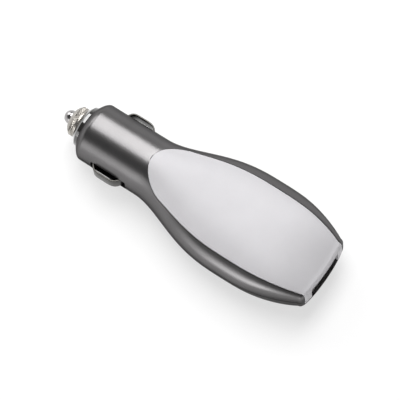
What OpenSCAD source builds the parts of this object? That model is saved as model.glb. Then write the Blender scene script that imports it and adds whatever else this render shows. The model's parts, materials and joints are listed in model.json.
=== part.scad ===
// Car USB charger plug: a barrel with a sprung tip and side clips, a flattened handle in two
// half shells, an inlaid cover plate that folds over the end, and a USB port in that end.
// Lengths are in millimetres. X runs along the barrel from its shoulder (x = 0) to the port,
// Z points out of the cover plate, and the half shells part in the plane z = 0.

/* [Barrel] */
// Diameter of the barrel at its straight land
barrel_d = 20.6; // [20.2:0.1:21]
// Length of the straight land behind the shoulder
land_l = 4.6; // [4:0.1:4.8]
// Radius that the barrel gains along its draft
barrel_draft = 0.08; // [0.04:0.01:0.2]
// Length from the shoulder to the start of the handle
barrel_l = 22; // [21.9:0.1:24]
// Wall of the barrel
barrel_wall = 2; // [1.7:0.1:2.2]
// Thickness of the rib that cradles the fuse
rib_t = 1.4; // [1.2:0.1:1.6]
// Width of that rib
rib_w = 8.4; // [8:0.2:9]
// Width of the rib that grips the terminal disc
grip_w = 9.6; // [9:0.2:10]
// Length of the cone in front of the shoulder
nose_cone_l = 2.6; // [2.4:0.1:3]
// Diameter of the nose in front of that cone
nose_d = 14.8; // [14.6:0.1:16]
// Thickness of the front wall that holds the collar
nose_wall = 1.8; // [1.4:0.1:2]

/* [Handle] */
// Length of the handle behind the barrel
handle_l = 67.5; // [67:0.5:74]
// Width at the widest section
handle_w = 37.2; // [36:0.2:40]
// Length of the flare from the barrel to the widest section
flare_l = 39; // [36:0.5:42]
// Height of the handle above the parting plane
handle_top = 9; // [8.8:0.1:10]
// Height of the handle below the parting plane
handle_bottom = 10.4; // [10.2:0.1:11]
// Squareness of the handle's section, where 2 is an ellipse
handle_square = 2.3; // [2.1:0.05:2.6]
// Width of the handle at its end
end_w = 25; // [24.4:0.2:27]
// Height of the end above the parting plane
end_top = 5; // [4.9:0.1:5.6]
// Height of the end below the parting plane
end_bottom = 4.9; // [4.8:0.1:5.4]
// Squareness of the section at the end
end_square = 5; // [4.4:0.1:5.6]
// Rounding around the end face, larger than the plate's thickness
end_round = 1.15; // [1.1:0.05:1.4]
// Radius of the end face's bow, seen from above
end_bow_r = 65; // [50:1:90]
// Wall of the half shells
shell_wall = 1.7; // [1.4:0.1:1.9]
// Thickness of the end wall under the plate's tab
end_wall = 2; // [1.6:0.1:2.4]

/* [Cover plate] */
// Thickness of the plate
plate_t = 1; // [0.8:0.1:1]
// Width of the plate at the handle's widest section
plate_w = 28.6; // [27:0.2:30]
// Width of the tab that folds over the end
tab_w = 21; // [20:0.2:21.6]
// How far the tab reaches below the parting plane
tab_drop = 3.3; // [3.2:0.05:3.35]
// Distance from the end of the barrel to the plate's tip
tip_gap = 1; // [0.6:0.1:3]
// Length of the plate's rounded tip
tip_l = 9; // [8:0.2:11]
// Gap around the plate in its recess
plate_gap = 0.2; // [0.15:0.05:0.3]
// Height of the plate above the shell around it
plate_proud = 0.15; // [0.05:0.05:0.3]

/* [Collar and screw cap] */
// Diameter of the collar's rim
collar_d = 14.3; // [13.6:0.1:14.5]
// Length of the collar's rim
collar_rim_l = 1.25; // [0.8:0.05:1.6]
// Length of the collar's cone
collar_cone_l = 1.35; // [1:0.05:1.8]
// Diameter of the waist that the half shells grip
waist_d = 11.2; // [10.4:0.1:12]
// Thickness of the flange behind the front wall
flange_t = 1.4; // [1:0.1:1.8]
// Length of the tube that guides the fuse, behind the flange
guide_l = 3.2; // [2:0.1:3.4]
// Outside diameter of the screw cap
cap_d = 10.5; // [10.3:0.1:10.8]
// Wall of the screw cap around its thread
cap_wall = 1.05; // [0.95:0.05:1.1]
// Wall of the collar's threaded tube
tube_wall = 0.65; // [0.6:0.05:0.75]
// Length of the screw cap
cap_l = 3.5; // [3.3:0.1:4]
// Thickness of the cap's front lip
cap_lip_t = 0.8; // [0.6:0.1:1]
// Length of the cap's tapered front
cap_front_l = 1.5; // [1.4:0.1:1.8]
// How much the cap's radius shrinks along that front
cap_taper = 1.6; // [1.2:0.1:1.8]
// Knurls around the cap
knurls = 40; // [24:2:60]
// Depth of a knurl
knurl_depth = 0.25; // [0.15:0.05:0.35]
// Thickness of the bush between the cap and the collar
bush_t = 0.8; // [0.6:0.1:1]

/* [Contact pin and fuse] */
// How far the pin stands out of the cap
pin_reach = 3.1; // [2.8:0.1:3.6]
// Width of the shoulder that stops the pin
shoulder_w = 1; // [0.9:0.1:1.1]
// Thickness of that shoulder
shoulder_t = 0.8; // [0.6:0.1:1]
// Length of the fuse
fuse_l = 20; // [19.8:0.1:20.2]
// Diameter of the fuse's end caps
fuse_d = 5.2; // [5:0.05:5.3]
// Length of the fuse's end caps
fuse_cap_l = 5; // [4:0.1:6]
// Wall of the fuse's glass tube
glass_wall = 0.6; // [0.4:0.05:0.8]
// Diameter of the fuse wire
fuse_wire_d = 0.3; // [0.2:0.05:0.4]
// Length of the spring behind the fuse
spring_l = 6.7; // [6.4:0.1:6.8]
// Mean diameter of the spring
spring_d = 3.8; // [3.4:0.1:4]
// Diameter of the spring's wire
spring_wire_d = 0.56; // [0.4:0.02:0.6]
// Turns of the spring
spring_turns = 6; // [4:1:7]
// Thickness of the terminal disc behind the spring
terminal_t = 0.8; // [0.6:0.1:0.9]
// Diameter of the terminal disc
terminal_d = 6; // [5.6:0.1:6.4]
// Length of the solder tag behind the disc
tag_l = 3; // [2:0.2:4]

/* [Ground clips] */
// Width of a clip's strip
clip_w = 4.8; // [4.4:0.1:5]
// Thickness of a clip's strip
clip_t = 0.5; // [0.4:0.05:0.6]
// Distance from the axis to the crown's outside
clip_reach = 11.95; // [11.6:0.05:12.1]
// Start of the slot behind the shoulder
slot_x = 5.2; // [5.1:0.1:5.3]
// Length of the slot
slot_l = 13.6; // [13.4:0.1:13.8]
// Play between a clip and its slot
clip_play = 0.25; // [0.15:0.05:0.3]

/* [USB port] */
// Width of the port's metal shell
usb_w = 13.2; // [13.1:0.1:13.4]
// Height of the port's metal shell
usb_h = 5.8; // [5.7:0.1:5.9]
// Length of the port's metal shell
usb_l = 14; // [13.4:0.1:14.6]
// Thickness of the shell's sheet
usb_t = 0.3; // [0.25:0.05:0.35]
// Depth of the shell's mouth behind the end face
usb_recess = 1.2; // [1:0.1:1.4]
// Depth of the tongue behind the shell's mouth
tongue_recess = 0.9; // [0.6:0.1:1.2]
// Width of the tongue
tongue_w = 11; // [10.6:0.1:11.2]
// Thickness of the tongue
tongue_t = 1.84; // [1.7:0.02:1.9]
// Height of the tongue's underside above the shell's middle
tongue_z = 0.35; // [0.3:0.05:0.4]
// Length of the block that carries the tongue
tongue_root_l = 3; // [2.4:0.2:4]
// Length of the windows for the shell's sprung tabs
window_l = 4; // [3.4:0.2:4.4]
// Width of those windows
window_w = 2; // [1.6:0.1:2.2]
// Distance between the windows' middles
window_pitch = 6.4; // [6:0.1:6.6]
// Distance from the shell's mouth to its windows
window_in = 3; // [2.6:0.2:3.4]
// Distance from the shell's back to its legs
leg_in = 1.6; // [1.2:0.1:2]
// Length of a leg along the shell
leg_l = 1.2; // [1:0.1:1.4]
// How far the legs reach below the board
leg_drop = 0.8; // [0.6:0.1:1]
// Margin of the plate's opening around the shell
mouth_margin = 0.4; // [0.3:0.05:0.5]

/* [Board] */
// Length of the circuit board
board_l = 39.5; // [39:0.5:40]
// Width of the circuit board
board_w = 18; // [17.4:0.2:18.4]
// Thickness of the circuit board
board_t = 1.2; // [1:0.1:1.6]
// Distance from the board's sides to its pegs
peg_edge = 2; // [1.8:0.1:2.2]
// Distance from the board's front to its first pegs
peg_in = 3.5; // [3:0.1:3.6]
// Distance between the pegs along the board
peg_pitch = 22; // [21.8:0.1:22.2]
// Distance from the board's front to the wires' pads
pad_in = 2; // [1.6:0.1:2]
// Distance from the board's sides to the ground wires' pads
pad_edge = 1.4; // [1.2:0.1:1.6]
// Diameter of the inductor
inductor_d = 8.4; // [7.6:0.2:9]
// Height of the inductor
inductor_h = 6; // [5:0.2:6.4]
// Flange thickness of the inductor's core
inductor_flange_t = 1; // [0.8:0.1:1.2]
// Distance from the board's front to the inductor's middle
inductor_in = 19.5; // [19.3:0.1:19.8]
// Gap between the inductor and the output capacitor
inductor_gap = 1.5; // [1.3:0.1:1.7]
// Diameter of the input capacitor
input_can_d = 6.3; // [5:0.1:6.4]
// Length of the input capacitor
input_can_l = 8; // [7:0.2:8.4]
// Distance from the board's front to the input capacitor
input_can_in = 5; // [4.8:0.1:5.4]
// Distance from the board's side to the input capacitor's middle
input_can_edge = 4.6; // [4.4:0.1:4.8]
// Diameter of the output capacitor
output_can_d = 5; // [4:0.1:5.4]
// Length of the output capacitor
output_can_l = 7; // [6:0.2:7.4]
// Distance from the board's front to the output capacitor
output_can_in = 16; // [15.6:0.1:16.6]
// Distance from the board's side to the output capacitor's middle
output_can_edge = 4.4; // [4.2:0.1:4.6]
// Length of the controller chip
chip_l = 5; // [4.8:0.1:5.2]
// Width of the controller chip
chip_w = 3.8; // [3.6:0.1:4]
// Height of the controller chip's body
chip_h = 1.4; // [1.2:0.1:1.6]
// Pitch of the controller chip's leads
lead_pitch = 1.27; // [1.2:0.01:1.3]
// Distance from the board's front to the chip's middle
chip_in = 9; // [8:0.1:10]
// Distance from the board's side to the middle of the chip and of the diode
chip_edge = 5.1; // [5:0.1:5.2]
// Length of the rectifier diode
diode_l = 4.4; // [4:0.1:4.6]
// Width of the rectifier diode
diode_w = 2.6; // [2.4:0.1:2.8]
// Height of the rectifier diode's body
diode_h = 2.1; // [1.8:0.1:2.3]
// Distance from the board's front to the diode's middle
diode_in = 28.5; // [28.4:0.1:28.6]
// Length of a chip resistor
resistor_l = 2; // [1.6:0.1:2.2]
// Width of a chip resistor
resistor_w = 1.2; // [0.8:0.1:1.4]
// Height of a chip resistor
resistor_h = 0.5; // [0.4:0.05:0.6]

/* [Wires] */
// Diameter of the positive wire
positive_wire_d = 1.3; // [1.1:0.1:1.5]
// Diameter of the ground wires
ground_wire_d = 1.1; // [1:0.1:1.3]

/* [Fasteners] */
// Diameter of the housing screws
screw_d = 2; // [1.8:0.1:2.2]
// Diameter of the screws' heads
screw_head_d = 4.2; // [3.8:0.1:4.4]
// Height of the screws' heads
screw_head_h = 1.4; // [1.2:0.1:1.6]
// Length of the cross in the screws' heads
cross_l = 2.4; // [2:0.1:2.8]
// Width of the cross's slots
cross_w = 0.5; // [0.4:0.05:0.6]
// Depth of the cross
cross_depth = 0.6; // [0.5:0.05:0.8]
// Depth of the heads' seats below the parting plane
screw_seat = 5.6; // [5.2:0.1:5.8]
// How far the screws reach above the parting plane
screw_bite = 3.6; // [3:0.1:3.8]
// Wall of a post around its screw's head
post_wall = 1.1; // [1:0.05:1.2]
// Distance from the end of the barrel to the front screw
front_screw_in = 11; // [10.6:0.1:11.4]
// Distance from the widest section to the rear screws
rear_screw_in = 9; // [8.6:0.1:9.4]
// Gap between the board and the rear screws' posts
post_gap = 0.6; // [0.5:0.05:0.7]

/* [Hidden] */
$fn = 64;
ring_points = 40;      // points around a section of the handle
tail_power = 2.6;      // how late the handle tapers to its end
far = 40;              // half size of the solids that halve the housing
past = 1;              // how far a cutting solid runs past what it cuts
seam_step = 0.06;      // step down from the round barrel to the handle's first section
seat = 0.05;           // gap between pieces that seat against each other
running = 0.08;        // radial play of a piece that runs in another
loose = 0.15;          // radial play of a piece that only passes through another

barrel_r = barrel_d / 2;
barrel_end_r = barrel_r + barrel_draft;
bore_r = barrel_r - barrel_wall;
nose_x = -nose_cone_l;
widest_x = barrel_l + flare_l;
end_x = barrel_l + handle_l;
round_x = end_x - end_round;
tip_x = barrel_l + tip_gap;

collar_seat_x = nose_x - seat;
rim_x = collar_seat_x - collar_rim_l;
cone_x = rim_x - collar_cone_l;
cap_rear_x = cone_x - seat;
cap_x = cap_rear_x - cap_l;
bush_x = cap_x + cap_lip_t + seat;
bush_rear_x = bush_x + bush_t;
neck_x = bush_rear_x + seat;
flange_x = nose_x + nose_wall + seat;
guide_x = flange_x + flange_t + guide_l;
pin_tip_x = cap_x - pin_reach;
shoulder_x = bush_rear_x + seat;
fuse_x = shoulder_x + shoulder_t;
fuse_rear_x = fuse_x + fuse_l;
terminal_x = fuse_rear_x + spring_l;
pin_bore_x = cone_x + 1.8;            // where the pin's bore steps down to the fuse's
thread_d = cap_d - 2 * cap_wall;
shoulder_d = thread_d - 2 * (tube_wall + loose);
pin_d = shoulder_d - 2 * shoulder_w;

slot_rear_x = slot_x + slot_l;
slot_w = clip_w + 2 * clip_play;
clip_root_y = sqrt(pow(bore_r, 2) - pow(clip_w / 2, 2)) - seat - clip_t / 2;
clip_root_x = slot_rear_x + 2.8;      // the end of the tab inside the barrel, and its hinge
clip_crown_y = clip_reach - clip_t / 2;

usb_x = end_x - usb_recess;
usb_rear_x = usb_x - usb_l;
board_z = -usb_h / 2;
board_x = barrel_l + 18.5;
cavity_end_x = end_x - end_wall - plate_t;

post_r = screw_head_d / 2 + post_wall;
front_post = [barrel_l + front_screw_in, 0];
rear_post = [widest_x + rear_screw_in, board_w / 2 + post_gap + post_r];
posts = [front_post, rear_post, [rear_post[0], -rear_post[1]]];
wire_swing = post_r + 0.4;
peg_y = board_w / 2 - peg_edge;
pegs = [for (x = [0, peg_pitch], y = [-peg_y, peg_y]) [board_x + peg_in + x, y]];
peg_r = 0.7;

// General helpers

// Turns a revolved profile, drawn as [radius, x], onto the X axis
module turned(points) {
    rotate([0, 90, 0]) rotate_extrude() polygon(points);
}

module rod(x0, x1, r) {
    translate([x0, 0, 0]) rotate([0, 90, 0]) cylinder(r = r, h = x1 - x0);
}

module post(at, z0, z1, r) {
    translate([at[0], at[1], z0]) cylinder(r = r, h = z1 - z0);
}

// A box from its two corners
module block(low, high) {
    translate(low) cube(high - low);
}

function share(x, a, b) = max(0, min(1, (x - a) / (b - a)));
function mix(a, b, t) = a + (b - a) * t;
function signed_pow(v, p) = sign(v) * pow(abs(v), p);

// A closed solid through a row of rings. The caps are strips that join point i to its mirror.
module loft(rings) {
    n = len(rings[0]);
    last = (len(rings) - 1) * n;
    sides = [
        for (k = [0 : len(rings) - 2], i = [0 : n - 1])
            let (a = k * n + i, b = k * n + (i + 1) % n)
            each [[a, a + n, b], [b, a + n, b + n]]
    ];
    front = [for (i = [0 : n / 2 - 2]) [i, i + 1, n - 2 - i, n - 1 - i]];
    back = [for (f = front) [for (i = [3 : -1 : 0]) last + f[i]]];
    polyhedron([for (ring = rings) each ring], concat(sides, front, back));
}

// The handle's form: a circle where it leaves the barrel, a squared oval at the end

function swell(t) = 1 - pow(1 - t, 3) * (1 + 3 * t);
function flare(x) = swell(share(x, barrel_l, widest_x));
function tail(x) = pow(share(x, widest_x, round_x), tail_power);
function between(x, at_barrel, at_middle, at_end) =
    at_barrel + (at_middle - at_barrel) * flare(x) + (at_end - at_middle) * tail(x);
function rounding(x) =
    x <= round_x ? 0 : end_round - sqrt(max(0, pow(end_round, 2) - pow(x - round_x, 2)));

function half_w(x) = between(x, barrel_end_r, handle_w / 2, end_w / 2) - rounding(x);
function top_h(x) = between(x, barrel_end_r, handle_top, end_top) - rounding(x);
function bottom_h(x) = between(x, barrel_end_r, handle_bottom, end_bottom) - rounding(x);
function square(x) = between(x, 2, handle_square, end_square);

// How far the bowed end face stands back at a distance y from the middle
function bow(x, y) = swell(share(x, end_x - 12, round_x)) * y * y / (2 * end_bow_r);

// Height of the outer surface at x and y, as a part of the section's full height
function crown(x, y) = pow(max(0, 1 - pow(abs(y) / half_w(x), square(x))), 1 / square(x));
function roof_z(x, y) = top_h(x) * crown(x, y);
function floor_z(x, y) = -bottom_h(x) * crown(x, y);

function section(x, inset, roof) = [
    for (i = [0.5 : ring_points])
        let (
            a = 360 * i / ring_points,
            p = 2 / square(x),
            y = (half_w(x) - inset) * signed_pow(cos(a), p),
            h = a < 180 ? top_h(x) - inset - roof : bottom_h(x) - inset
        )
        [x - bow(x, y), y, h * signed_pow(sin(a), p)]
];

module handle_form() {
    flare_x = [for (i = [1 : 12]) mix(barrel_l, widest_x, pow(i / 12, 1.25))];
    tail_x = [for (i = [1 : 10]) mix(widest_x, round_x, pow(i / 10, 0.8))];
    round_xs = [for (i = [1 : 3]) round_x + end_round * sin(30 * i)];
    loft(concat(
        [section(barrel_l, seam_step, 0)],
        [for (x = concat(flare_x, tail_x, round_xs)) section(x, 0, 0)]
    ));
}

module handle_cavity() {
    first = section(barrel_l, shell_wall, 0);
    flare_x = [for (i = [0 : 10]) mix(barrel_l + past, widest_x, pow(i / 10, 1.25))];
    tail_x = [for (i = [1 : 8]) mix(widest_x, cavity_end_x, pow(i / 8, 0.8))];
    loft(concat(
        [[for (p = first) p - [past, 0, 0]]],
        [for (x = concat(flare_x, tail_x)) section(x, shell_wall, plate_t)]
    ));
}

// The cover plate: a ribbon that follows the outer surface and folds over the end

function plate_edge(x) =
    half_w(min(x, round_x)) * mix(plate_w / handle_w, tab_w / end_w, tail(x))
    * sqrt(1 - pow(1 - max(0.015, share(x, tip_x, tip_x + tip_l)), 2));

// Stations along the ribbon: x, the angle of the fold, and the share of the tab's drop
plate_stations = concat(
    [for (i = [0 : 7]) [tip_x + tip_l * pow(i / 7, 1.7), 0, 0]],
    [for (i = [1 : 12]) [mix(tip_x + tip_l, round_x, i / 12), 0, 0]],
    [for (a = [30 : 30 : 90]) [round_x + end_round * sin(a), a, 0]],
    [[end_x, 90, 1]]
);

function plate_row(station, lift, grow) = [
    for (v = [1 : -1 / 6 : -1.01])
        let (
            x = station[0],
            a = station[1],
            y = v * (plate_edge(x) + grow),
            z = mix(roof_z(x, y), -tab_drop - grow, station[2])
        )
        [x - bow(x, y) + lift * sin(a), y, z + lift * cos(a)]
];

module ribbon(under, over, grow) {
    rows = [
        for (s = plate_stations)
            let (inner = plate_row(s, -under, grow), outer = plate_row(s, over, grow))
            concat(outer, [for (i = [len(inner) - 1 : -1 : 0]) inner[i]])
    ];
    shift = [for (r = [0 : len(rows) - 1]) r == 0 ? [-grow, 0, 0] : [0, 0, 0]];
    loft([for (r = [0 : len(rows) - 1]) [for (p = rows[r]) p + shift[r]]]);
}

module usb_mouth(margin, x0, x1) {
    w = usb_w / 2 + margin;
    h = usb_h / 2 + margin;
    block([x0, -w, -h], [x1, w, h]);
}

// The half shells

module barrel_tube() {
    edge = 0.5;    // size of the softened edge in front of the land
    turned([
        [waist_d / 2 + 2 * seat, nose_x],
        [nose_d / 2, nose_x],
        [barrel_r - edge, -1.2 * edge],
        [barrel_r - edge / 4, -edge / 2],
        [barrel_r, 0],
        [barrel_r, land_l],
        [barrel_end_r, barrel_l],
        [bore_r, barrel_l],
        [bore_r, nose_x + nose_wall],
        [waist_d / 2 + 2 * seat, nose_x + nose_wall]
    ]);
}

module clip_slots() {
    for (y = [-barrel_r, barrel_r])
        block([slot_x, y - 4, -slot_w / 2], [slot_rear_x, y + 4, slot_w / 2]);
}

// Ribs across the bore: one cradles the fuse, the other grips the terminal disc
module bore_ribs() {
    front_x = fuse_rear_x - 3;
    rear_x = terminal_x - 0.6;
    difference() {
        intersection() {
            rod(0, barrel_l, bore_r + barrel_wall / 2);
            union() {
                block([front_x, -rib_w / 2, -far], [front_x + rib_t, rib_w / 2, far]);
                block([rear_x, -grip_w / 2, -far], [terminal_x + terminal_t + 0.5, grip_w / 2, far]);
            }
        }
        rod(0, rear_x - past, fuse_d / 2 + loose);
        rod(rear_x - past, barrel_l, spring_d / 2 + spring_wire_d / 2 + loose);
        rod(terminal_x - seat, terminal_x + terminal_t + seat, terminal_d / 2 + running);
    }
}

module half_barrel(side) {
    difference() {
        intersection() {
            union() {
                barrel_tube();
                bore_ribs();
            }
            block([nose_x, -far, min(0, side * far)], [barrel_l, far, max(0, side * far)]);
        }
        clip_slots();
    }
}

module half_handle(side) {
    intersection() {
        difference() {
            handle_form();
            handle_cavity();
        }
        block([barrel_l, -far, min(0, side * far)], [end_x + past, far, max(0, side * far)]);
    }
}

module top_housing() {
    color([0.42, 0.42, 0.44])
    difference() {
        union() {
            half_barrel(1);
            half_handle(1);
            for (p = posts) post(p, 0, roof_z(p[0], p[1]) - plate_t - shell_wall / 2, post_r);
        }
        ribbon(plate_t, past, plate_gap);
        usb_mouth(seat, usb_rear_x - past, usb_x + seat);
        usb_mouth(mouth_margin, usb_x + seat, end_x + past);
        for (p = posts) post(p, -past, screw_bite + 0.4, screw_d / 2 + seat);
    }
}

module bottom_housing() {
    color([0.40, 0.40, 0.42])
    difference() {
        union() {
            half_barrel(-1);
            half_handle(-1);
            for (p = posts) post(p, floor_z(p[0], p[1]) + shell_wall / 2, 0, post_r);
            for (p = pegs) {
                post(p, floor_z(p[0], p[1]) + shell_wall / 2, board_z - board_t, 1.5);
                post(p, board_z - board_t - past, board_z + 0.4, peg_r);
            }
        }
        ribbon(plate_t, past, plate_gap);
        usb_mouth(seat, usb_rear_x - past, usb_x + seat);
        usb_mouth(mouth_margin, usb_x + seat, end_x + past);
        for (p = posts) {
            post(p, -far, -screw_seat, screw_head_d / 2 + loose);
            post(p, -screw_seat - past, past, screw_d / 2 + loose);
        }
    }
}

module top_plate() {
    color([0.84, 0.83, 0.84])
    difference() {
        ribbon(plate_t - seat, plate_proud, 0);
        usb_mouth(mouth_margin, usb_x - past, end_x + past);
    }
}

// The nose: collar, screw cap, bush and contact pin

module nose_collar() {
    color([0.07, 0.07, 0.07])
    turned([
        [shoulder_d / 2 + loose, neck_x],
        [thread_d / 2, neck_x],
        [thread_d / 2, cone_x],
        [cap_d / 2 + 0.15, cone_x],
        [collar_d / 2 - 0.25, rim_x],
        [collar_d / 2, rim_x + 0.15],
        [collar_d / 2, collar_seat_x],
        [waist_d / 2, collar_seat_x],
        [waist_d / 2, flange_x],
        [bore_r - 0.7, flange_x],
        [bore_r - 0.7, flange_x + flange_t],
        [fuse_d / 2 + 1.3, flange_x + flange_t],
        [fuse_d / 2 + 1.3, guide_x],
        [fuse_d / 2 + loose, guide_x],
        [fuse_d / 2 + loose, pin_bore_x],
        [shoulder_d / 2 + loose, pin_bore_x]
    ]);
}

module knurl_band(x0, x1, r) {
    points = [
        for (i = [0 : 2 * knurls - 1])
            (r - (i % 2) * knurl_depth) * [cos(180 * i / knurls), sin(180 * i / knurls)]
    ];
    translate([x0, 0, 0]) rotate([0, 90, 0]) linear_extrude(x1 - x0) polygon(points);
}

module screw_cap() {
    r = cap_d / 2;
    body_r = r - 0.6 * knurl_depth;
    band_x = cap_x + cap_front_l;
    color([0.80, 0.79, 0.76])
    difference() {
        union() {
            turned([
                [0, cap_x],
                [r - cap_taper, cap_x],
                [r - 9 / 16 * cap_taper, cap_x + cap_front_l / 3],
                [r - 3 / 16 * cap_taper, cap_x + 4 / 5 * cap_front_l],
                [body_r, band_x],
                [body_r, cap_rear_x - 0.5],
                [r - 0.05, cap_rear_x - 0.4],
                [r - 0.05, cap_rear_x],
                [0, cap_rear_x]
            ]);
            knurl_band(band_x, cap_rear_x - 0.7, r);
        }
        rod(cap_x - past, cap_rear_x, pin_d / 2 + running);
        rod(cap_x + cap_lip_t, cap_rear_x + past, thread_d / 2 + running);
    }
}

module guide_bush() {
    color([0.90, 0.89, 0.85])
    difference() {
        rod(bush_x, bush_rear_x, thread_d / 2);
        rod(bush_x - past, bush_rear_x + past, pin_d / 2 + running);
    }
}

module contact_pin() {
    r = pin_d / 2;
    color([0.86, 0.86, 0.86]) {
        intersection() {
            translate([pin_tip_x + r, 0, 0]) sphere(r);
            block([pin_tip_x - past, -far, -far], [pin_tip_x + r, far, far]);
        }
        rod(pin_tip_x + r, shoulder_x + shoulder_t / 2, r);
        rod(shoulder_x, fuse_x, shoulder_d / 2);
    }
}

// The fuse: a glass tube in two caps, with its wire

module fuse_cap(x, facing) {
    wall = 0.25;    // sheet of the cap
    difference() {
        rod(min(x, x + facing * fuse_cap_l), max(x, x + facing * fuse_cap_l), fuse_d / 2);
        translate([x + facing * wall, 0, 0]) rotate([0, facing * 90, 0])
            cylinder(r = fuse_d / 2 - wall, h = fuse_cap_l);
    }
}

module fuse_front_cap() {
    color([0.78, 0.76, 0.70]) fuse_cap(fuse_x, 1);
}

module fuse_rear_cap() {
    color([0.78, 0.76, 0.70]) fuse_cap(fuse_rear_x, -1);
}

module fuse_glass() {
    r = fuse_d / 2 - 0.25 - seat;
    color([0.80, 0.86, 0.86, 0.4])
    difference() {
        rod(fuse_x + 0.3, fuse_rear_x - 0.3, r);
        rod(fuse_x, fuse_rear_x, r - glass_wall);
    }
}

module fuse_wire() {
    color([0.75, 0.72, 0.66]) rod(fuse_x + 0.25, fuse_rear_x - 0.25, fuse_wire_d / 2);
}

// A coil along the X axis, drawn as a loft of eight-sided rings
module fuse_spring() {
    r = spring_wire_d / 2;
    steps = 14 * spring_turns;
    lead = (spring_l - spring_wire_d) / steps;
    color([0.70, 0.70, 0.70])
    loft([
        for (k = [0 : steps])
            let (turn = 360 * k / 14, out = [0, cos(turn), sin(turn)])
            [
                for (i = [0.5 : 8])
                    [fuse_rear_x + r + k * lead, 0, 0] + spring_d / 2 * out
                    + r * (cos(45 * i) * out - sin(45 * i) * [1, 0, 0])
            ]
    ]);
}

module spring_terminal() {
    rear_x = terminal_x + terminal_t;
    color([0.80, 0.66, 0.36]) {
        rod(terminal_x, rear_x, terminal_d / 2);
        rod(terminal_x - 1.5, terminal_x + terminal_t / 2, spring_d / 2 - spring_wire_d);
        block([terminal_x + terminal_t / 2, -1, -0.3], [rear_x + tag_l, 1, 0.3]);
    }
}

// A ground clip: a strip bent from its root in the barrel, out through the slot and back in

clip_route = [
    [clip_root_x, clip_root_y],
    [slot_rear_x, clip_root_y],
    [slot_rear_x - 1.1, clip_root_y + 0.8],
    [slot_rear_x - 2.1, clip_crown_y - 1.1],
    [slot_rear_x - 4, clip_crown_y - 0.1],
    [slot_x + 6, clip_crown_y],
    [slot_x + 3.4, clip_crown_y - 0.2],
    [slot_x + 1.9, clip_crown_y - 1.5],
    [slot_x + 1.2, clip_root_y + 0.7],
    [slot_x + 0.1, clip_root_y - 0.3],
    [slot_x - 1.1, clip_root_y - 0.5]
];

function curve_point(p, i, t) =
    let (
        n = len(p) - 1,
        a = p[max(0, i - 1)],
        b = p[i],
        c = p[min(n, i + 1)],
        d = p[min(n, i + 2)]
    )
    b + t * (c - a) / 2 + t * t * (a - 2.5 * b + 2 * c - d / 2)
    + t * t * t * (1.5 * (b - c) + (d - a) / 2);

function smooth(p, steps) = concat(
    [for (i = [0 : len(p) - 2], k = [0 : steps - 1]) curve_point(p, i, k / steps)],
    [p[len(p) - 1]]
);

function side_shift(p, i, d) =
    let (v = p[min(len(p) - 1, i + 1)] - p[max(0, i - 1)])
    p[i] + d / norm(v) * [-v[1], v[0]];

module ground_clip() {
    line = smooth(clip_route, 4);
    outer = [for (i = [0 : len(line) - 1]) side_shift(line, i, clip_t / 2)];
    inner = [for (i = [len(line) - 1 : -1 : 0]) side_shift(line, i, -clip_t / 2)];
    translate([0, 0, -clip_w / 2]) linear_extrude(clip_w) polygon(concat(outer, inner));
}

module left_ground_clip() {
    color([0.78, 0.77, 0.75]) ground_clip();
}

module right_ground_clip() {
    color([0.78, 0.77, 0.75]) mirror([0, 1, 0]) ground_clip();
}

// The circuit board and what it carries

leg_x = usb_rear_x + leg_in;

module usb_legs(grow, z0, z1) {
    for (y = [-1, 1] * (usb_w / 2 - usb_t / 2))
        block(
            [leg_x - grow, y - usb_t / 2 - grow, z0],
            [leg_x + leg_l + grow, y + usb_t / 2 + grow, z1]
        );
}

module circuit_board() {
    color([0.10, 0.32, 0.18])
    difference() {
        block([board_x, -board_w / 2, board_z - board_t], [board_x + board_l, board_w / 2, board_z]);
        for (p = pegs) post(p, board_z - board_t - past, board_z + past, peg_r + running);
        usb_legs(2 * seat, board_z - board_t - past, board_z + past);
    }
}

module usb_shell() {
    w = usb_w / 2;
    h = usb_h / 2;
    color([0.72, 0.72, 0.72])
    union() {
        difference() {
            block([usb_rear_x, -w, -h], [usb_x, w, h]);
            block([usb_rear_x + usb_t, usb_t - w, usb_t - h], [usb_x + past, w - usb_t, h - usb_t]);
            // windows of the sprung tongues in the top and bottom
            for (y = [-window_pitch / 2, window_pitch / 2])
                block([usb_x - window_in - window_l, y - window_w / 2, -h - past],
                      [usb_x - window_in, y + window_w / 2, h + past]);
        }
        usb_legs(0, board_z - board_t - leg_drop, board_z);
    }
}

module usb_tongue() {
    w = usb_w / 2 - usb_t - seat;
    h = usb_h / 2 - usb_t - seat;
    back_x = usb_rear_x + usb_t;
    color([0.06, 0.06, 0.06])
    union() {
        block([back_x, -w, -h], [back_x + tongue_root_l, w, h]);
        block([back_x + tongue_root_l / 2, -tongue_w / 2, tongue_z],
              [usb_x - tongue_recess, tongue_w / 2, tongue_z + tongue_t]);
    }
}

module usb_contacts() {
    contact_w = 1;
    color([0.85, 0.68, 0.30])
    for (y = [-3.5, -1, 1, 3.5])
        block([usb_rear_x + usb_t + tongue_root_l, y - contact_w / 2, tongue_z - 0.2],
              [usb_x - tongue_recess - 0.6, y + contact_w / 2, tongue_z]);
}

output_can_y = output_can_edge - board_w / 2;
inductor_y = output_can_y + (output_can_d + inductor_d) / 2 + inductor_gap;
inductor_at = [board_x + inductor_in, inductor_y];

module inductor_core() {
    color([0.15, 0.15, 0.16])
    translate([inductor_at[0], inductor_at[1], board_z])
    rotate_extrude() polygon([
        [0, 0],
        [inductor_d / 2, 0],
        [inductor_d / 2, inductor_flange_t],
        [inductor_d / 4, inductor_flange_t],
        [inductor_d / 4, inductor_h - inductor_flange_t],
        [inductor_d / 2, inductor_h - inductor_flange_t],
        [inductor_d / 2, inductor_h],
        [0, inductor_h]
    ]);
}

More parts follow.
